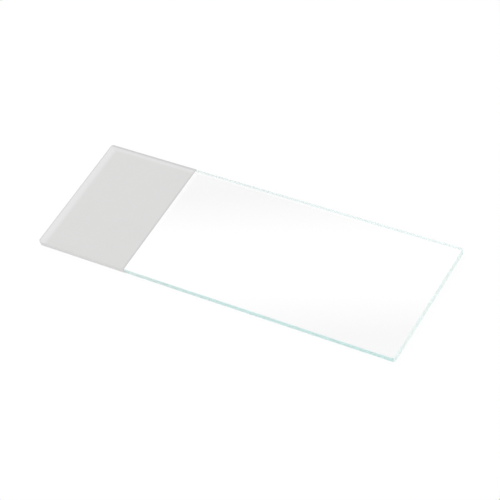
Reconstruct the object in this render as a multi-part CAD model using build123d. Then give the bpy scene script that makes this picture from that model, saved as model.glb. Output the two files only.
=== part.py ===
from build123d import *
from build123d.topology import SkipClean
import os

# Microscope slide with a coated marking end.
#
# The slide is one plate of clear soda-lime glass. Its edges are ground flat and square, with a
# narrow 45 degree seam where they meet the two faces, and its upright corners are eased. At one
# end a matt marking coat covers the upper face, rolls over the seam and runs down the ground
# edges as far as the lower seam. It is bonded to the glass, stands a little proud of it, and
# thins gently towards its rims.
#
# Units are millimetres. The origin is the centre of the glass underside, +X runs along the slide
# away from the marking end, and +Z is up, through the face that carries the specimen.

# Glass plate
slide_length = 75.0
slide_width = 25.0
slide_thickness = 1.05
corner_radius = 0.5  # eased upright corners
seam_width = 0.06  # seam between each ground edge and the face beside it

# Marking coat
marking_length = 19.5  # from the end of the glass to the coat's straight inner rim
coat_height = 0.06  # writing surface above the upper face of the glass
rim_height = 0.03  # the coat above the upper face at its rims
edge_coat = 0.03  # thickness of the coat on the ground edges
outer_taper = 1.4  # how far in from the three outer sides the coat reaches its full height
inner_taper = 0.35  # the same, from the straight inner rim

# Worked out from the above
end_x = -slide_length / 2  # ground end of the plate on the marking side
shoulder_radius = seam_width + edge_coat  # roll of the coat over the seam

# Levels
skirt_foot = Plane.XY.offset(seam_width)  # the lower seam starts here
upper_face = Plane.XY.offset(slide_thickness)
rim_level = Plane.XY.offset(slide_thickness + rim_height)
writing_level = Plane.XY.offset(slide_thickness + coat_height)


def plate_outline(growth):
    """Eased rectangle of the glass, grown outwards by the same amount on every side."""
    length = slide_length + 2 * growth
    width = slide_width + 2 * growth
    RectangleRounded(length, width, corner_radius + growth)


def marking_outline(outer_inset, inner_inset, mode=Mode.ADD):
    """Plain rectangle over the marking end, drawn in from its three outer sides and from the
    straight inner rim."""
    length = marking_length - outer_inset - inner_inset
    with Locations((end_x + outer_inset + length / 2, 0)):
        Rectangle(length, slide_width - 2 * outer_inset, mode=mode)


def glass_plate():
    """Ground and seamed plate. A split line parts its upper face where the coat ends, so that
    the clear part that carries the specimen is a face of its own."""
    with BuildPart() as plate:
        with BuildSketch():
            plate_outline(0)
        extrude(amount=slide_thickness)
        faces = plate.faces().filter_by(Axis.Z)
        chamfer(faces.edges(), seam_width)
        with BuildSketch(upper_face):
            plate_outline(-seam_width)
            marking_outline(0, 0, Mode.INTERSECT)
        with SkipClean():
            extrude(amount=-slide_thickness / 2, clean=False)
    return plate.part


def crown():
    """Straight-sided body of the coat, with an upper surface that tapers to its rims."""
    with BuildPart() as body:
        with BuildSketch(skirt_foot):
            marking_outline(-edge_coat, 0)
        extrude(amount=slide_thickness + rim_height - seam_width)
        with BuildSketch(rim_level):
            marking_outline(-edge_coat, 0)
        with BuildSketch(writing_level):
            marking_outline(outer_taper, inner_taper)
        loft(ruled=True)
    return body.part


def marking_coat(plate):
    """Coat that fits the plate. A block that wraps the glass is rounded along its shoulder,
    trimmed to the crown, and hollowed by the glass itself."""
    with BuildPart() as coat:
        with BuildSketch(skirt_foot):
            plate_outline(edge_coat)
        extrude(amount=slide_thickness + coat_height - seam_width)
        top = coat.faces().sort_by(Axis.Z)[-1]
        fillet(top.edges(), shoulder_radius)
        add(crown(), mode=Mode.INTERSECT)
        add(plate, mode=Mode.SUBTRACT)
    return coat.part


plate = glass_plate()
nodes = {
    "glass_plate": plate,
    "marking_coat": marking_coat(plate),
}

os.makedirs("parts", exist_ok=True)
for name, solid in nodes.items():
    export_step(solid, f"parts/{name}.step")
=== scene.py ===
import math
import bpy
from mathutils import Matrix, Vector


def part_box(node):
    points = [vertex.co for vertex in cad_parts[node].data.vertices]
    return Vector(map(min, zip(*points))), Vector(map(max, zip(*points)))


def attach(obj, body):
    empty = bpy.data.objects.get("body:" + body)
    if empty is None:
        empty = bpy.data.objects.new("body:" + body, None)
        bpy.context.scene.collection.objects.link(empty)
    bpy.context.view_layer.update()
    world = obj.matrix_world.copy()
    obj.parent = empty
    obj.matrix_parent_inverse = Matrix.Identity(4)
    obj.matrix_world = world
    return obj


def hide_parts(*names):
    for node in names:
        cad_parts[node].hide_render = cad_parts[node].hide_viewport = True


bl_info = {
    "name": "Microscope Slide",
    "version": (1, 0, 0),
    "blender": (4, 5, 0),
    "location": "3D View > Sidebar > Slide",
    "description": "Makes a glass microscope slide with a coated marking end, and a small studio for it",
    "category": "Object",
}

import bpy
import numpy as np
from bpy.props import FloatProperty, FloatVectorProperty, PointerProperty
from mathutils import Matrix, Vector

# The frame. Everything is in metres. +X runs along the slide away from the marking end, and +Z
# is up, out of the face that carries the specimen.

MM = 0.001
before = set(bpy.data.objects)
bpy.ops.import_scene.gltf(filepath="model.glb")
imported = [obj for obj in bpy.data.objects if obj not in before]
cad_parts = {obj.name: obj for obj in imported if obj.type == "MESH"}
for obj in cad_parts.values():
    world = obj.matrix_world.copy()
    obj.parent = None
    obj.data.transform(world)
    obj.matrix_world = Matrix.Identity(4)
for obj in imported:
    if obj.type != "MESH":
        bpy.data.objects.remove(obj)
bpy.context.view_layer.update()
PLATE_LOW, PLATE_HIGH = (np.array(corner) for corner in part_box("glass_plate"))
COAT_LOW, COAT_HIGH = (np.array(corner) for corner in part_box("marking_coat"))

HALF_LENGTH = (PLATE_HIGH[0] - PLATE_LOW[0]) / 2
HALF_WIDTH = (PLATE_HIGH[1] - PLATE_LOW[1]) / 2
UPPER_FACE = PLATE_HIGH[2]
INNER_RIM_X = COAT_HIGH[0]  # where the coat ends on the clear glass
EDGE_COAT = PLATE_LOW[0] - COAT_LOW[0]  # thickness of the coat on the ground edges
SKIRT_FOOT = COAT_LOW[2]  # how low the coat reaches on them
WRITING_LEVEL = COAT_HIGH[2]


# Settings


class SlideGlassSettings(bpy.types.PropertyGroup):
    """Sizes and finish of the glass plate."""

    corner_radius: FloatProperty(
        name="Corner radius",
        description="Radius of the eased upright corners",
        default=0.5 * MM,
        unit="LENGTH",
    )
    seam_width: FloatProperty(
        name="Seam width",
        description="Width of the 45 degree seam between a ground edge and a face",
        default=0.06 * MM,
        unit="LENGTH",
    )
    seam_wander: FloatProperty(
        name="Seam wander",
        description="How much the seam varies along the edges, as a share of its width",
        default=0.12,
        subtype="FACTOR",
    )
    arris_ease: FloatProperty(
        name="Arris ease",
        description="How far the sharp lines of the seams are eased",
        default=0.01 * MM,
        unit="LENGTH",
    )
    tint: FloatVectorProperty(
        name="Tint",
        description="Colour that the glass lets through best, seen along its length",
        default=(0.0, 0.88, 0.74),
        subtype="COLOR",
    )
    absorption: FloatProperty(
        name="Absorption",
        description="How strongly the glass takes up the other colours, per metre",
        default=2.2,
    )
    side_tint: FloatVectorProperty(
        name="Side tint",
        description="Tint of the two long edges, whose ground skin gathers the glass's own colour",
        default=(0.585, 0.765, 0.752),
        subtype="COLOR",
    )
    polish: FloatProperty(
        name="Polish",
        description="Roughness of the two drawn faces",
        default=0.0,
        subtype="FACTOR",
    )
    side_ground: FloatProperty(
        name="Ground sides",
        description="Roughness of the two long edges and their seams, which are ground fine",
        default=0.46,
        subtype="FACTOR",
    )
    end_ground: FloatProperty(
        name="Ground ends",
        description="Roughness of the two short edges and their seams, which are ground coarse",
        default=1.0,
        subtype="FACTOR",
    )
    tooth: FloatProperty(
        name="Tooth",
        description="Depth of the grain that grinding leaves on the edges",
        default=0.001 * MM,
        unit="LENGTH",
    )


class SlideCoatSettings(bpy.types.PropertyGroup):
    """Sizes and finish of the marking coat."""

    outer_taper: FloatProperty(
        name="Outer taper",
        description="How far in from its outer sides the coat reaches its full height",
        default=1.6 * MM,
        unit="LENGTH",
    )
    inner_taper: FloatProperty(
        name="Inner taper",
        description="The same, from the straight rim on the clear glass",
        default=0.35 * MM,
        unit="LENGTH",
    )
    rim_height: FloatProperty(
        name="Rim height",
        description="Height of the coat above the glass at its rims",
        default=0.02 * MM,
        unit="LENGTH",
    )
    crown_corner: FloatProperty(
        name="Crown corner",
        description="Corner radius of the flat writing surface",
        default=1.0 * MM,
        unit="LENGTH",
    )
    bond: FloatProperty(
        name="Bond",
        description="How far the coat is keyed into the skin of the glass",
        default=0.006 * MM,
        unit="LENGTH",
    )
    colour: FloatVectorProperty(
        name="Coat colour",
        description="Base colour of the marking coat",
        default=(0.711, 0.710, 0.703),
        subtype="COLOR",
    )
    # Painted glow: a paler colour painted on top along the end and the far side, where light leaks in at
    # the edges that face the lamps.
    painted_glow_colour: FloatVectorProperty(
        name="Margin colour",
        description="Colour of the coat where it lies thin, along the end and the far side",
        default=(0.776, 0.776, 0.776),
        subtype="COLOR",
    )
    # Painted shade: the darker colour of the narrow line along the coat's rims and, more faintly, down
    # its sides, standing in for the shade on edges that turn away from the light.
    painted_shade_colour: FloatVectorProperty(
        name="Rim colour",
        description="Colour of the narrow line where the ink gathers at the coat's rims",
        default=(0.61, 0.61, 0.61),
        subtype="COLOR",
    )
    bond_colour: FloatVectorProperty(
        name="Bond colour",
        description="Colour of the primer under the ink, where the coat meets the glass",
        default=(0.92, 0.92, 0.91),
        subtype="COLOR",
    )
    roughness: FloatProperty(
        name="Coat roughness",
        description="Roughness of the marking coat",
        default=0.62,
        subtype="FACTOR",
    )


class SlideStudioSettings(bpy.types.PropertyGroup):
    """Floor, light and camera."""

    floor_size: FloatProperty(
        name="Floor size",
        description="Side of the square floor",
        default=6.0,
        unit="LENGTH",
    )
    floor_colour: FloatVectorProperty(
        name="Floor colour",
        description="Colour of the floor where the lamps light it",
        default=(0.9, 0.9, 0.9),
        subtype="COLOR",
    )
    sky_share: FloatProperty(
        name="Sky share",
        description="Share of the light on the slide that comes evenly from all round",
        default=0.75,
        subtype="FACTOR",
    )
    flag_level: FloatProperty(
        name="Flag level",
        description="Brightness of the two dim flags that the clear faces mirror",
        default=0.16,
        subtype="FACTOR",
    )
    tent_level: FloatProperty(
        name="Tent level",
        description="Brightness of the rest of the sky, as glass mirrors and passes it",
        default=1.09,
    )
    key_share: FloatProperty(
        name="Key share",
        description="Share of the light on the slide that comes from the key lamp, behind it",
        default=0.16,
        subtype="FACTOR",
    )
    fill_share: FloatProperty(
        name="Fill share",
        description="Share of the light on the slide that comes from the fill lamp, in front",
        default=0.09,
        subtype="FACTOR",
    )
    camera_azimuth: FloatProperty(
        name="Camera azimuth",
        description="Turn of the camera about the vertical",
        default=math.radians(46.869),
        subtype="ANGLE",
    )
    camera_elevation: FloatProperty(
        name="Camera elevation",
        description="Height of the camera above the floor, as an angle",
        default=math.radians(47.197),
        subtype="ANGLE",
    )
    camera_roll: FloatProperty(
        name="Camera roll",
        description="Turn of the camera about its line of sight",
        default=math.radians(-20.617),
        subtype="ANGLE",
    )
    camera_distance: FloatProperty(
        name="Camera distance",
        description="From the camera to the point that it looks at",
        default=358.2 * MM,
        unit="LENGTH",
    )
    camera_aim: FloatVectorProperty(
        name="Camera aim",
        description="Point that the camera looks at, from the middle of the upper face",
        default=(1.83 * MM, -0.67 * MM, 0.0),
        subtype="XYZ",
        unit="LENGTH",
    )
    focal_length: FloatProperty(
        name="Focal length",
        description="Focal length on a 36 mm sensor, in millimetres",
        default=147.08,
    )


# Surfaces

WELD = 1e-4 * MM  # points that are nearer than about this become one
FLAT_START = 2.5  # the profile ends on the two faces this many seam widths in
FLAT_HOLD = 1.6  # a flat beside an eased corner is held at this many eases from it
WAVES = ((5, 0.4), (13, 2.1), (29, 4.0))  # whole turns and phase of each wave of the seams
PLATE_SIDE_STEPS = 96
COAT_SIDE_STEPS = 48
END_STEPS = 32
ARC_STEPS = 9
EASE_STEPS = 5
CROWN_RINGS = 25


def blend(start, end, steps):
    """Points spaced evenly from start to end, with both: start + (end - start) * t."""
    t = np.linspace(0, 1, steps)[:, None]
    return start + (end - start) * t


def smooth_step(t):
    """3t^2 - 2t^3, a rise from 0 to 1 that is flat at both ends."""
    return t * t * (3 - 2 * t)


def at_height(points, height):
    """Flat points lifted to a height, one for all or one for each."""
    lifted = np.broadcast_to(np.asarray(height), points.shape[:-1])
    return np.concatenate([points, lifted[..., None]], axis=-1)


class Shell:
    """Patches of one surface, welded into a closed mesh."""

    def __init__(self):
        self.points, self.faces, self.count = [], [], 0

    def take(self, points):
        """Keeps a patch's points, and gives their numbers."""
        flat = points.reshape(-1, 3)
        numbers = np.arange(self.count, self.count + len(flat)).reshape(points.shape[:-1])
        self.points.append(flat)
        self.count += len(flat)
        return numbers

    def grid(self, points, closed=False):
        """Quads between the neighbouring rows of a grid (rows, columns, 3). They face the side
        from which a row runs to the right and the next row lies above it. A closed grid joins
        its last column to its first."""
        numbers = self.take(points)
        if closed:
            numbers = np.concatenate([numbers, numbers[:, :1]], axis=1)
        quads = np.stack(
            [numbers[:-1, :-1], numbers[:-1, 1:], numbers[1:, 1:], numbers[1:, :-1]], axis=-1
        )
        self.faces += quads.reshape(-1, 4).tolist()

    def cap(self, ring):
        """One flat face through a ring of points. It faces the side from which the ring runs
        anticlockwise."""
        self.faces.append(self.take(ring).tolist())

    def piece(self, name, crease):
        """Makes the mesh object. Points that meet become one, and faces that this closes up go.
        Edges that turn by more than crease stay crisp."""
        points = np.concatenate(self.points)
        keys = np.round(points / WELD).astype(np.int64)
        _, first, number = np.unique(keys, axis=0, return_index=True, return_inverse=True)
        rings = [number.ravel()[face] for face in self.faces]
        rings = [ring[ring != np.roll(ring, 1)] for ring in rings]
        mesh = bpy.data.meshes.new(name)
        mesh.from_pydata(points[first], [], [ring.tolist() for ring in rings if len(ring) > 2])
        mesh.shade_smooth()
        mesh.set_sharp_from_angle(angle=crease)
        made = bpy.data.objects.new(name, mesh)
        bpy.context.scene.collection.objects.link(made)
        return made


def eased(corners, ease):
    """Rounds the inner corners of a profile (points, columns, 2). Each corner P becomes the
    curve (1-t)^2 A + 2t(1-t) P + t^2 B, whose ends A and B lie on its two sides, ease away from
    it. One more point outside each end keeps the flat beyond it flat."""
    rows = [corners[0]]
    t = np.linspace(0, 1, EASE_STEPS)[:, None, None]
    for before, corner, after in zip(corners, corners[1:], corners[2:]):
        back, on = before - corner, after - corner
        back = ease * back / np.linalg.norm(back, axis=1, keepdims=True)
        on = ease * on / np.linalg.norm(on, axis=1, keepdims=True)
        curve = corner + (1 - t) ** 2 * back + t**2 * on
        rows += [corner + FLAT_HOLD * back, *curve, corner + FLAT_HOLD * on]
    rows.append(corners[-1])
    return np.stack(rows)


def plate_round(radius):
    """Columns round the plate, anticlockwise from above. Each has the point that it springs
    from and its outward direction, so that the edge is spring + radius * direction. Round a
    corner the spring stays at the corner's centre, and along a side it moves on to the next."""
    springs, directions = [], []
    signs = np.array([(1, -1), (1, 1), (-1, 1), (-1, -1)])
    centres = signs * (HALF_LENGTH - radius, HALF_WIDTH - radius)
    for index, steps in enumerate([END_STEPS, PLATE_SIDE_STEPS] * 2):
        turn = (index - 1 + np.linspace(0, 1, ARC_STEPS)) * math.pi / 2
        arc = np.stack([np.cos(turn), np.sin(turn)], axis=1)
        side = blend(centres[index], centres[(index + 1) % 4], steps)[1:-1]
        springs += [np.tile(centres[index], (ARC_STEPS, 1)), side]
        directions += [arc, np.tile(arc[-1], (len(side), 1))]
    return np.concatenate(springs), np.concatenate(directions)


def wander(count):
    """A slow wave round a closed outline: the mean of sines of whole turns, from -1 to 1."""
    turn = np.linspace(0, 2 * math.pi, count, endpoint=False)
    return sum(np.sin(turns * turn + phase) for turns, phase in WAVES) / len(WAVES)


def glass_surface(glass):
    """The plate is a profile carried round its outline, closed by its two flat faces. The
    profile starts on the underside and runs over the lower seam, up the ground edge and over
    the upper seam on to the upper face."""
    springs, directions = plate_round(glass.corner_radius)
    seam = glass.seam_width * (1 + glass.seam_wander * wander(len(springs)))
    none, inside = 0 * seam, 0 * seam + FLAT_START * glass.seam_width
    low, high = none, none + UPPER_FACE
    corners = [(inside, low), (seam, low), (none, low + seam)]
    corners += [(none, high - seam), (seam, high), (inside, high)]
    profile = eased(np.array(corners).transpose(0, 2, 1), glass.arris_ease)
    outward = (glass.corner_radius - profile[..., :1]) * directions
    rows = at_height(springs + outward, profile[..., 1])
    shell = Shell()
    shell.grid(rows, closed=True)
    shell.cap(rows[0, ::-1])
    shell.cap(rows[-1])
    return shell.piece("slide_glass", crease=math.radians(30))


def marking_path(outer, inner, corner):
    """Outline of the marking end, clockwise from above: from the inner rim along the front side,
    round the end, and back along the far side to the inner rim. It is drawn in by outer from
    the three outer sides and by inner from the inner rim."""
    x = -HALF_LENGTH + outer + corner
    y = HALF_WIDTH - outer - corner
    turn = np.linspace(0, math.pi / 2, ARC_STEPS)
    front_arc = np.stack([x - corner * np.sin(turn), -y - corner * np.cos(turn)], axis=1)
    back_arc = front_arc[::-1] * (1, -1)
    rim_point = np.array([INNER_RIM_X - inner, -y - corner])
    front = blend(rim_point, front_arc[0], COAT_SIDE_STEPS)
    end = blend(front_arc[-1], back_arc[0], END_STEPS)
    return np.concatenate([front[:-1], front_arc, end[1:-1], back_arc, front[-2::-1] * (1, -1)])


def rim_run(path):
    """The inner rim, straight from the far end of a path back to its start."""
    return blend(path[-1], path[0], END_STEPS)


def coat_surface(coat, glass):
    """The coat has four patches. The crown is rings that rise from the rims to the writing
    surface as a smooth step. Outside it a profile is carried round the three outer sides: over
    the shoulder, down the skirt, and back up along the glass. The inner rim is a low upright
    wall, and the underside is flat. Where it meets the glass it is keyed in by the bond."""
    seam = glass.seam_width
    rim_level = UPPER_FACE + coat.rim_height
    edge_corner = glass.corner_radius - seam
    shoulder = seam + EDGE_COAT
    shell = Shell()

    crown = []
    for t in np.linspace(1, 0, CROWN_RINGS):
        outer = seam + (coat.outer_taper - seam) * t
        corner = edge_corner + (coat.crown_corner - edge_corner) * t
        path = marking_path(outer, coat.inner_taper * t, corner)
        height = rim_level + (WRITING_LEVEL - rim_level) * smooth_step(t)
        crown.append(at_height(np.concatenate([path, rim_run(path)[1:-1]]), height))
    crown = np.stack(crown)
    shell.grid(crown, closed=True)
    shell.cap(crown[0, ::-1])

    roll = np.linspace(0, math.pi / 2, ARC_STEPS)
    inset = seam - shoulder * np.sin(roll)
    level = rim_level - shoulder * (1 - np.cos(roll))
    profile = list(zip(inset, level))
    profile += [(-EDGE_COAT, SKIRT_FOOT), (coat.bond, SKIRT_FOOT)]
    profile += [(coat.bond, UPPER_FACE - seam), (seam, UPPER_FACE - coat.bond)]
    rows = []
    for inward, height in profile:
        rows.append(at_height(marking_path(inward, 0, glass.corner_radius - inward), height))
    strip = np.stack(rows)
    shell.grid(strip)
    shell.cap(strip[:, 0])
    shell.cap(strip[::-1, -1])

    shell.grid(np.stack([rim_run(strip[0]), rim_run(strip[-1])]))
    shell.cap(np.concatenate([strip[-1], rim_run(strip[-1])[1:-1]]))
    return shell.piece("slide_marking_coat", crease=math.radians(40))


# Materials

WHITE = (1.0, 1.0, 1.0)

GLASS_IOR = 1.52
GLASS_GRAIN = 0.06 * MM
GLASS_PATCH = 9 * MM
GLASS_SMEAR = 0.02  # how much roughness a mark of handling adds to a drawn face
DRAWN_DEPTH = 0.001 * MM  # within this depth of the faces' levels the glass is drawn
GROUND_DEPTH = 0.006 * MM  # and from this depth on it is ground
GROUND_SPREAD = 0.07  # how much the roughness of a ground edge varies, as a share of it
CORNER_BLEND = 0.1 * MM  # half the width in which an end's grinding turns into a side's

INK_GRAIN = 0.09 * MM
INK_TOOTH = 0.004 * MM
INK_PATCH = 5 * MM
INK_ROLL = 0.12 * MM  # height of the roll-off that the coat's shading shows at its outer sides
INK_BURNISH = 0.08  # how much roughness a mark of handling takes off the ink
INK_CLOUD = 0.985  # its shade where it is handled most
INK_SPREAD = 0.01  # how much its shade varies with its grain

# Bands of painted light along the rims of the coat: a paler painted glow on top along the end and the
# far side, where light leaks in at the edges that face the lamps, and a narrow darker line of painted
# shade at each rim. For each band, how far in it begins to fade and has faded, and how strong it is
# before that.
END_GLOW_BAND = (1.15 * MM, 2.1 * MM, 1.0)
FAR_GLOW_BAND = (0.85 * MM, 1.35 * MM, 0.8)
END_SHADE_LINE = (0.2 * MM, 0.4 * MM, 0.5)
FAR_SHADE_LINE = (0.3 * MM, 0.5 * MM, 0.9)
INNER_SHADE_LINE = (0.22 * MM, 0.42 * MM, 0.55)
SKIRT_SHADE = 0.15  # strength of the painted shade all down the coat's sides, which makes them darker than its top
SKIRT_TOP = 0.1 * MM  # the sides begin this far below the upper face
BOND_BLEND = 0.1 * MM  # how soft the turn is from the ink to the primer

NOISE_RANGE = (0.3, 0.7)  # nearly all of a noise's values lie between these
COARSE_GRAIN = 0.3  # scale of the grain's coarser noise, as a share of the finer one's
PATCH_RANGE = (0.45, 0.75)  # a patch of handling begins and is full at these values of its noise
SPECK_RANGE = (0.35, 0.65)  # and so do the specks that break it up
SPECK_LEAST = 0.5  # how much of a patch is left between its specks
SPECKS_PER_PATCH = 14.0


def add(tree, kind, inputs=None, **settings):
    """Adds a node. Each input is linked where it is given a socket, and set otherwise."""
    made = tree.nodes.new(kind)
    for key, value in settings.items():
        setattr(made, key, value)
    for key, value in (inputs or {}).items():
        if isinstance(value, bpy.types.NodeSocket):
            tree.links.new(value, made.inputs[key])
        else:
            made.inputs[key].default_value = value
    return made


def calculate(tree, operation, first, second=0.0):
    """One Math node's result."""
    return add(tree, "ShaderNodeMath", {0: first, 1: second}, operation=operation).outputs[0]


def ramp(tree, value, start, end, low=0.0, high=1.0, kind="SMOOTHSTEP"):
    """One Map Range node's result: low at start and high at end."""
    inputs = {"Value": value, "From Min": start, "From Max": end, "To Min": low, "To Max": high}
    return add(tree, "ShaderNodeMapRange", inputs, interpolation_type=kind).outputs[0]


def band(tree, distance, extent):
    """A band along a rim, from where it begins to fade, where it has faded and its strength."""
    start, end, strength = extent
    return ramp(tree, distance, start, end, strength, 0.0)


def value_mix(tree, share, first, second):
    """One Mix node's result: the first value at share 0 and the second at 1."""
    return add(tree, "ShaderNodeMix", {"Factor": share, "A": first, "B": second}).outputs["Result"]


def colour_mix(tree, share, first, second):
    """The same for colours, whose sockets are the seventh and eighth of the node."""
    return add(tree, "ShaderNodeMix", {0: share, 6: first, 7: second}, data_type="RGBA").outputs[2]


def opaque(colour):
    """A colour with the alpha that its sockets ask for."""
    return (*colour, 1.0)


def scaled(tree, vector, factor):
    """A vector or colour times a factor."""
    inputs = {0: vector, "Scale": factor}
    return add(tree, "ShaderNodeVectorMath", inputs, operation="SCALE").outputs["Vector"]


def product(tree, first, second):
    """The dot product of two vectors."""
    inputs = {0: first, 1: second}
    return add(tree, "ShaderNodeVectorMath", inputs, operation="DOT_PRODUCT").outputs["Value"]


def noise(tree, place, scale, detail, distortion=0.0):
    """One Noise Texture's value."""
    inputs = {"Vector": place, "Scale": scale, "Detail": detail, "Distortion": distortion}
    return add(tree, "ShaderNodeTexNoise", inputs).outputs["Fac"]


def relief(tree, height):
    """The normal of a surface whose height over its mesh is given in metres."""
    inputs = {"Height": height, "Strength": 1.0, "Distance": 1.0}
    return add(tree, "ShaderNodeBump", inputs).outputs["Normal"]


def new_group(name, inputs, outputs):
    """An empty shader node group, with its input sockets and output sockets."""
    tree = bpy.data.node_groups.new(name, "ShaderNodeTree")
    for label, kind, value in inputs:
        socket = tree.interface.new_socket(label, in_out="INPUT", socket_type=kind)
        if value is not None:
            socket.default_value = value
    for label, kind in outputs:
        tree.interface.new_socket(label, in_out="OUTPUT", socket_type=kind)
    return tree, tree.nodes.new("NodeGroupInput").outputs, tree.nodes.new("NodeGroupOutput").inputs


def use(tree, group, inputs):
    """Places a node group with its own values, and gives its outputs."""
    return add(tree, "ShaderNodeGroup", inputs, node_tree=group).outputs


def grain_group():
    """Fine even tooth of a matt surface: two noises of different size added together. Height is
    in metres, and Value runs from 0 to 1."""
    tree, given, out = new_group(
        "Fine Grain",
        [
            ("Vector", "NodeSocketVector", None),
            ("Grain Size", "NodeSocketFloat", 0.1 * MM),
            ("Grain Depth", "NodeSocketFloat", 0.002 * MM),
        ],
        [("Height", "NodeSocketFloat"), ("Value", "NodeSocketFloat")],
    )
    scale = calculate(tree, "DIVIDE", 1.0, given["Grain Size"])
    fine = noise(tree, given["Vector"], scale, detail=3.0)
    coarse_scale = calculate(tree, "MULTIPLY", scale, COARSE_GRAIN)
    coarse = noise(tree, given["Vector"], coarse_scale, detail=2.0)
    value = calculate(tree, "MULTIPLY", calculate(tree, "ADD", fine, coarse), 0.5)
    tree.links.new(value, out["Value"])
    tree.links.new(calculate(tree, "MULTIPLY", value, given["Grain Depth"]), out["Height"])
    return tree


def handling_group():
    """Faint marks of handling: soft cloudy patches broken up by fine specks. Mask runs from 0,
    clean, to 1."""
    tree, given, out = new_group(
        "Handling Marks",
        [("Vector", "NodeSocketVector", None), ("Patch Size", "NodeSocketFloat", 6 * MM)],
        [("Mask", "NodeSocketFloat")],
    )
    scale = calculate(tree, "DIVIDE", 1.0, given["Patch Size"])
    cloud = noise(tree, given["Vector"], scale, detail=4.0, distortion=0.6)
    patches = ramp(tree, cloud, *PATCH_RANGE)
    speck_scale = calculate(tree, "MULTIPLY", scale, SPECKS_PER_PATCH)
    specks = noise(tree, given["Vector"], speck_scale, detail=2.0)
    broken = ramp(tree, specks, *SPECK_RANGE, SPECK_LEAST, 1.0)
    tree.links.new(calculate(tree, "MULTIPLY", patches, broken), out["Mask"])
    return tree


def node_group(name):
    """The group of this name, built the first time it is asked for."""
    makers = {"Fine Grain": grain_group, "Handling Marks": handling_group}
    return bpy.data.node_groups.get(name) or makers[name]()


def new_material(name):
    """An empty material with its tree, its Principled shader, its output and the piece's own
    coordinates."""
    material = bpy.data.materials.new(name)
    material.use_nodes = True
    tree = material.node_tree
    shader = tree.nodes["Principled BSDF"]
    output = tree.nodes["Material Output"]
    place = tree.nodes.new("ShaderNodeTexCoord").outputs["Object"]
    return material, tree, shader, output, place


def ground_places(tree, place):
    """Two values from 0 to 1: whether the glass is ground, which it is off the levels of its two
    drawn faces, and whether it is nearer to a side than to an end."""
    split = add(tree, "ShaderNodeSeparateXYZ", {"Vector": place}).outputs
    below = calculate(tree, "SUBTRACT", float(UPPER_FACE), split["Z"])
    off_face = calculate(tree, "MINIMUM", split["Z"], below)
    ground = ramp(tree, off_face, DRAWN_DEPTH, GROUND_DEPTH)
    from_end = calculate(tree, "SUBTRACT", float(HALF_LENGTH), calculate(tree, "ABSOLUTE", split["X"]))
    from_side = calculate(tree, "SUBTRACT", float(HALF_WIDTH), calculate(tree, "ABSOLUTE", split["Y"]))
    nearer_side = calculate(tree, "SUBTRACT", from_end, from_side)
    return ground, ramp(tree, nearer_side, -CORNER_BLEND, CORNER_BLEND)


def glass_material(glass):
    """Clear soda-lime glass, teal along its length. Its ground edges are rough, with a fine
    tooth, and coarser at the ends than along the sides."""
    material, tree, shader, output, place = new_material("Soda-lime glass")
    ground, side = ground_places(tree, place)
    grain_inputs = {"Vector": place, "Grain Size": GLASS_GRAIN, "Grain Depth": glass.tooth}
    grain = use(tree, node_group("Fine Grain"), grain_inputs)
    marks = use(tree, node_group("Handling Marks"), {"Vector": place, "Patch Size": GLASS_PATCH})
    smeared = glass.polish + GLASS_SMEAR
    drawn_roughness = ramp(tree, marks["Mask"], 0.0, 1.0, glass.polish, smeared, "LINEAR")
    coarseness = ramp(tree, side, 0.0, 1.0, glass.end_ground, glass.side_ground, "LINEAR")
    unevenness = ramp(tree, grain["Value"], *NOISE_RANGE, 1 - GROUND_SPREAD, 1 + GROUND_SPREAD)
    ground_roughness = calculate(tree, "MULTIPLY", coarseness, unevenness)
    roughness = value_mix(tree, ground, drawn_roughness, ground_roughness)
    tooth = calculate(tree, "MULTIPLY", grain["Height"], ground)
    ground_side = calculate(tree, "MULTIPLY", ground, side)
    colour = colour_mix(tree, ground_side, opaque(WHITE), opaque(glass.side_tint))
    tree.links.new(colour, shader.inputs["Base Color"])
    tree.links.new(roughness, shader.inputs["Roughness"])
    tree.links.new(relief(tree, tooth), shader.inputs["Normal"])
    shader.inputs["Transmission Weight"].default_value = 1.0
    shader.inputs["IOR"].default_value = GLASS_IOR
    body = {"Color": opaque(glass.tint), "Density": glass.absorption}
    inside = add(tree, "ShaderNodeVolumeAbsorption", body)
    tree.links.new(inside.outputs["Volume"], output.inputs["Volume"])
    return material


def coat_places(tree, place):
    """Distances in from the coat's front side, far side, end and inner rim, and a value that is
    1 on its top and 0 down its sides."""
    split = add(tree, "ShaderNodeSeparateXYZ", {"Vector": place}).outputs
    from_front = calculate(tree, "ADD", split["Y"], float(HALF_WIDTH))
    from_back = calculate(tree, "SUBTRACT", float(HALF_WIDTH), split["Y"])
    from_end = calculate(tree, "ADD", split["X"], float(HALF_LENGTH))
    from_rim = calculate(tree, "SUBTRACT", float(INNER_RIM_X), split["X"])
    on_top = ramp(tree, split["Z"], UPPER_FACE - SKIRT_TOP, UPPER_FACE)
    return from_front, from_back, from_end, from_rim, on_top


def faces_inwards(tree, place):
    """1 on the faces that look towards the middle of the marking end, which lies inside the
    glass: where the normal times the way from that middle is below zero."""
    middle = ((INNER_RIM_X - HALF_LENGTH) / 2, 0.0, UPPER_FACE / 2)
    way = add(tree, "ShaderNodeVectorMath", {0: place, 1: middle}, operation="SUBTRACT")
    normal = tree.nodes.new("ShaderNodeNewGeometry").outputs["True Normal"]
    outwards = product(tree, normal, way.outputs["Vector"])
    return ramp(tree, outwards, -BOND_BLEND, 0.0, 1.0, 0.0)


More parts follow.
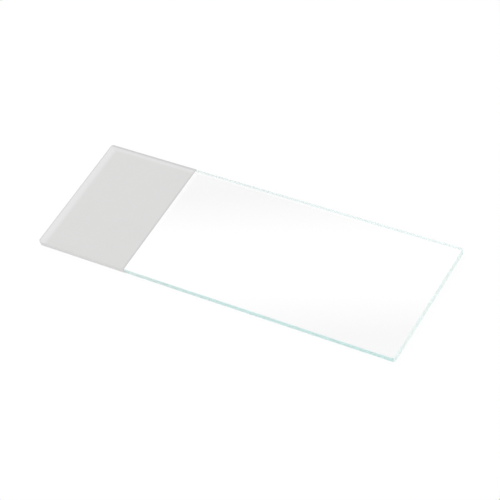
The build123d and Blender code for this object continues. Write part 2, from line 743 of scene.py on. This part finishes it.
def ink_colour_with_painted_light(tree, coat, place, places):
    """The ink's pale grey, with painted light on it. On top along the end and the far side it is painted
    paler, as a glow where light leaks in at the edges that face the lamps. A narrow darker line of
    painted shade runs along each rim, and the colour is painted a little darker down the sides, as
    shade. Where it looks on the glass it is the white of a primer."""
    _, from_back, from_end, from_rim, on_top = places
    # Painted glow: a paler band on top along the end and the far side, standing in for light that leaks
    # in at the lit edges.
    glow_bands = [band(tree, from_end, END_GLOW_BAND), band(tree, from_back, FAR_GLOW_BAND)]
    painted_glow = calculate(tree, "MULTIPLY", calculate(tree, "MAXIMUM", *glow_bands), on_top)
    ink = colour_mix(tree, painted_glow, opaque(coat.colour), opaque(coat.painted_glow_colour))

    # Painted shade: a narrow darker line along the end, the far side and the inner rim, and a faint
    # darkening down the sides, where the edges turn away from the light.
    outer_shade_lines = [band(tree, from_end, END_SHADE_LINE), band(tree, from_back, FAR_SHADE_LINE)]
    skirt_shade = ramp(tree, on_top, 0.0, 1.0, SKIRT_SHADE, 0.0, "LINEAR")
    other_shade_lines = [band(tree, from_rim, INNER_SHADE_LINE), skirt_shade]
    shade_lines = [calculate(tree, "MAXIMUM", *pair) for pair in (outer_shade_lines, other_shade_lines)]
    ink = colour_mix(tree, calculate(tree, "MAXIMUM", *shade_lines), ink, opaque(coat.painted_shade_colour))
    return colour_mix(tree, faces_inwards(tree, place), ink, opaque(coat.bond_colour))


def coat_material(coat):
    """Matt cured ink: a pale grey with a faint cloud and a fine tooth. It rolls off towards its
    outer sides, as surface tension draws wet ink back from an edge."""
    material, tree, shader, _, place = new_material("Marking coat ink")
    places = coat_places(tree, place)
    from_front, from_back, from_end = places[:3]
    depth = calculate(tree, "MINIMUM", calculate(tree, "MINIMUM", from_front, from_back), from_end)
    roll = ramp(tree, depth, 0.0, coat.outer_taper, 0.0, INK_ROLL)
    grain_inputs = {"Vector": place, "Grain Size": INK_GRAIN, "Grain Depth": INK_TOOTH}
    grain = use(tree, node_group("Fine Grain"), grain_inputs)
    marks = use(tree, node_group("Handling Marks"), {"Vector": place, "Patch Size": INK_PATCH})
    height = calculate(tree, "ADD", roll, grain["Height"])

    cloud = ramp(tree, marks["Mask"], 0.0, 1.0, 1.0, INK_CLOUD, "LINEAR")
    tooth = ramp(tree, grain["Value"], *NOISE_RANGE, 1 - INK_SPREAD, 1 + INK_SPREAD, "LINEAR")
    shade = calculate(tree, "MULTIPLY", cloud, tooth)
    # This colour carries the painted glow and the painted shade along the coat's rims.
    colour = scaled(tree, ink_colour_with_painted_light(tree, coat, place, places), shade)
    burnished = coat.roughness - INK_BURNISH
    roughness = ramp(tree, marks["Mask"], 0.0, 1.0, coat.roughness, burnished, "LINEAR")
    tree.links.new(colour, shader.inputs["Base Color"])
    tree.links.new(roughness, shader.inputs["Roughness"])
    tree.links.new(relief(tree, height), shader.inputs["Normal"])
    return material


# Stage

FLOOR_DROP = 0.002 * MM  # the floor lies this far under the slide, so that no faces coincide
FLOOR_ROUGHNESS = 0.9
FLOOR_GLOW = 1.02  # brightness of the white that it shows
FLOOR_GLOW_SHARE = 0.9  # how much of it is that white where it is seen directly
PAPER_SCALE = 60.0
PAPER_SHADE = 0.99  # the darkest that its paper grain makes it

# The sky's long soft light lies between its two flags, where a level face mirrors the middle of
# the camera's view. Places across the light and along it are sines of the angle from there.
LIGHT_LEVEL = 0.89
LIGHT_PLACE = 0.007  # how far below the middle of the view the light's own middle is mirrored
LIGHT_EDGE = (0.0135, 0.0335)  # across it, from the full light to the full flag
FLAG_EDGE = (0.07, 0.13)  # across it, from the flags to the walls of the tent
FLAG_END = (0.12, 0.2)  # and the same along it

# The lamps' direction from the slide, their distance from it and the side of their square
KEY_LAMP = ((-0.75, 0.42, 0.52), 0.9, 0.3)
FILL_LAMP = ((0.35, -0.8, 0.45), 0.9, 0.4)

SENSOR_WIDTH = 36.0
LIGHT_BOUNCES = 256  # light bounces in the glass and on the primer many times before it is out


def ways_of_seeing(tree):
    """Two values, each 1 where it holds: seen directly, and seen mirrored or through glass."""
    path = tree.nodes.new("ShaderNodeLightPath").outputs
    in_glass = calculate(tree, "MAXIMUM", path["Is Glossy Ray"], path["Is Transmission Ray"])
    return path["Is Camera Ray"], in_glass


def make_floor(studio):
    """A square floor. Seen mirrored or through glass it is white. Seen directly it is nearly so,
    with a tenth left to the lamps, so that it keeps the slide's shadow."""
    half = studio.floor_size / 2
    corners = np.array([(-half, -half), (half, -half), (half, half), (-half, half)])
    shell = Shell()
    shell.cap(at_height(corners, -FLOOR_DROP))
    floor = shell.piece("studio_floor", crease=0.0)
    material, tree, shader, output, place = new_material("Studio floor")
    paper = noise(tree, place, PAPER_SCALE, detail=3.0)
    shade = ramp(tree, paper, *NOISE_RANGE, PAPER_SHADE, 1.0)
    colour = scaled(tree, tuple(studio.floor_colour), shade)
    tree.links.new(colour, shader.inputs["Base Color"])
    shader.inputs["Roughness"].default_value = FLOOR_ROUGHNESS
    white = {"Color": opaque(WHITE), "Strength": FLOOR_GLOW}
    glow = add(tree, "ShaderNodeEmission", white).outputs["Emission"]
    seen, seen_in_glass = ways_of_seeing(tree)
    direct_share = calculate(tree, "MULTIPLY", seen, FLOOR_GLOW_SHARE)
    share = calculate(tree, "MAXIMUM", direct_share, seen_in_glass)
    both = add(tree, "ShaderNodeMixShader", {0: share, 1: shader.outputs["BSDF"], 2: glow})
    tree.links.new(both.outputs["Shader"], output.inputs["Surface"])
    floor.data.materials.append(material)


def camera_axes(studio):
    """The camera's right, up and back directions. It looks down from its azimuth and elevation,
    and is then turned about its line of sight."""
    flat = Vector((-math.sin(studio.camera_azimuth), math.cos(studio.camera_azimuth), 0.0))
    ahead = flat * math.cos(studio.camera_elevation) - Vector((0, 0, math.sin(studio.camera_elevation)))
    level = ahead.cross(Vector((0, 0, 1))).normalized()
    upright = level.cross(ahead)
    right = level * math.cos(studio.camera_roll) + upright * math.sin(studio.camera_roll)
    return right, right.cross(ahead), -ahead


def make_camera(studio):
    """The camera stands back from its aim along its line of sight, and looks down it."""
    right, up, back = camera_axes(studio)
    aim = Vector((0, 0, UPPER_FACE)) + Vector(studio.camera_aim)
    camera = bpy.data.objects.new("camera", bpy.data.cameras.new("camera"))
    camera.data.sensor_width = SENSOR_WIDTH
    camera.data.lens = studio.focal_length
    camera.data.clip_start = 0.01
    turn = Matrix((right, up, back)).transposed().to_4x4()
    camera.matrix_world = Matrix.Translation(aim + back * studio.camera_distance) @ turn
    bpy.context.scene.collection.objects.link(camera)
    bpy.context.scene.camera = camera


def make_lamp(name, direction, distance, size, share):
    """A square lamp aimed at the slide. Its power is what lights a level surface there by the
    given share of the full level, at which white paper is white: share * pi^2 * distance^2 over
    the height of its direction."""
    towards = Vector(direction).normalized()
    lamp = bpy.data.lights.new(name, "AREA")
    lamp.shape = "SQUARE"
    lamp.size = size
    lamp.energy = share * math.pi**2 * distance**2 / towards.z
    made = bpy.data.objects.new(name, lamp)
    made.location = towards * distance
    made.rotation_euler = towards.to_track_quat("Z", "Y").to_euler()
    made.visible_glossy = False
    made.visible_transmission = False
    bpy.context.scene.collection.objects.link(made)


def make_sky(studio):
    """An even white sky. Where the camera's view is mirrored in a level face, the sky has a long
    soft light between two dim flags. Glass sees the rest of it as the bright walls of a tent."""
    world = bpy.data.worlds.new("Studio sky")
    world.use_nodes = True
    bpy.context.scene.world = world
    tree = world.node_tree
    background = tree.nodes["Background"]
    direction = tree.nodes.new("ShaderNodeTexCoord").outputs["Generated"]
    right, up, _ = camera_axes(studio)
    mirrored_axes = [(axis.x, axis.y, -axis.z) for axis in (right, up)]
    along, across = (product(tree, direction, axis) for axis in mirrored_axes)
    off_middle = calculate(tree, "ABSOLUTE", calculate(tree, "ADD", across, LIGHT_PLACE))
    flag = ramp(tree, off_middle, *LIGHT_EDGE, kind="LINEAR")
    level = ramp(tree, flag, 0.0, 1.0, LIGHT_LEVEL, studio.flag_level, "LINEAR")
    across_flags = ramp(tree, off_middle, *FLAG_EDGE, 1.0, 0.0)
    along_flags = ramp(tree, calculate(tree, "ABSOLUTE", along), *FLAG_END, 1.0, 0.0)
    framed = calculate(tree, "MULTIPLY", across_flags, along_flags)
    glass_level = value_mix(tree, framed, studio.tent_level, level)
    seen, seen_in_glass = ways_of_seeing(tree)
    lit_level = value_mix(tree, seen_in_glass, studio.sky_share, glass_level)
    strength = value_mix(tree, seen, lit_level, 1.0)
    tree.links.new(strength, background.inputs["Strength"])
    background.inputs["Color"].default_value = opaque(WHITE)


# Operators and panel


def dress(piece, node, material):
    """Puts a finished piece in the place of its CAD node."""
    piece.data.materials.append(material)
    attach(piece, "root")
    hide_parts(node)


class SLIDE_OT_glass(bpy.types.Operator):
    """Make the glass plate"""

    bl_idname = "slide.glass"
    bl_label = "Glass Plate"

    def execute(self, context):
        glass = context.scene.slide_glass
        dress(glass_surface(glass), "glass_plate", glass_material(glass))
        return {"FINISHED"}


class SLIDE_OT_coat(bpy.types.Operator):
    """Make the marking coat"""

    bl_idname = "slide.coat"
    bl_label = "Marking Coat"

    def execute(self, context):
        coat, glass = context.scene.slide_coat, context.scene.slide_glass
        dress(coat_surface(coat, glass), "marking_coat", coat_material(coat))
        return {"FINISHED"}


class SLIDE_OT_stage(bpy.types.Operator):
    """Make the floor, the light and the camera"""

    bl_idname = "slide.stage"
    bl_label = "Studio"

    def execute(self, context):
        studio = context.scene.slide_studio
        make_floor(studio)
        make_sky(studio)
        make_lamp("key_lamp", *KEY_LAMP, studio.key_share)
        make_lamp("fill_lamp", *FILL_LAMP, studio.fill_share)
        make_camera(studio)
        context.scene.view_settings.view_transform = "Standard"
        cycles = context.scene.cycles
        cycles.max_bounces = LIGHT_BOUNCES
        cycles.diffuse_bounces = LIGHT_BOUNCES
        cycles.glossy_bounces = LIGHT_BOUNCES
        cycles.transmission_bounces = LIGHT_BOUNCES
        cycles.blur_glossy = 0.0
        cycles.denoising_input_passes = "RGB_ALBEDO"
        return {"FINISHED"}


class SLIDE_PT_panel(bpy.types.Panel):
    """Lists the makers of the slide and their settings"""

    bl_idname = "SLIDE_PT_panel"
    bl_label = "Microscope Slide"
    bl_space_type = "VIEW_3D"
    bl_region_type = "UI"
    bl_category = "Slide"

    def draw(self, context):
        rows = [
            (SLIDE_OT_glass, context.scene.slide_glass),
            (SLIDE_OT_coat, context.scene.slide_coat),
            (SLIDE_OT_stage, context.scene.slide_studio),
        ]
        for maker, settings in rows:
            box = self.layout.box()
            box.operator(maker.bl_idname)
            for name in settings.__annotations__:
                box.prop(settings, name)


CLASSES = (
    SlideGlassSettings,
    SlideCoatSettings,
    SlideStudioSettings,
    SLIDE_OT_glass,
    SLIDE_OT_coat,
    SLIDE_OT_stage,
    SLIDE_PT_panel,
)


def register():
    """Adds the classes and the three groups of settings."""
    for cls in CLASSES:
        bpy.utils.register_class(cls)
    bpy.types.Scene.slide_glass = PointerProperty(type=SlideGlassSettings)
    bpy.types.Scene.slide_coat = PointerProperty(type=SlideCoatSettings)
    bpy.types.Scene.slide_studio = PointerProperty(type=SlideStudioSettings)


def unregister():
    """Takes them away again, last first."""
    del bpy.types.Scene.slide_studio
    del bpy.types.Scene.slide_coat
    del bpy.types.Scene.slide_glass
    for cls in reversed(CLASSES):
        bpy.utils.unregister_class(cls)


def main():
    register()
    bpy.ops.slide.glass()
    bpy.ops.slide.coat()
    bpy.ops.slide.stage()


if __name__ == "__main__":
    main()
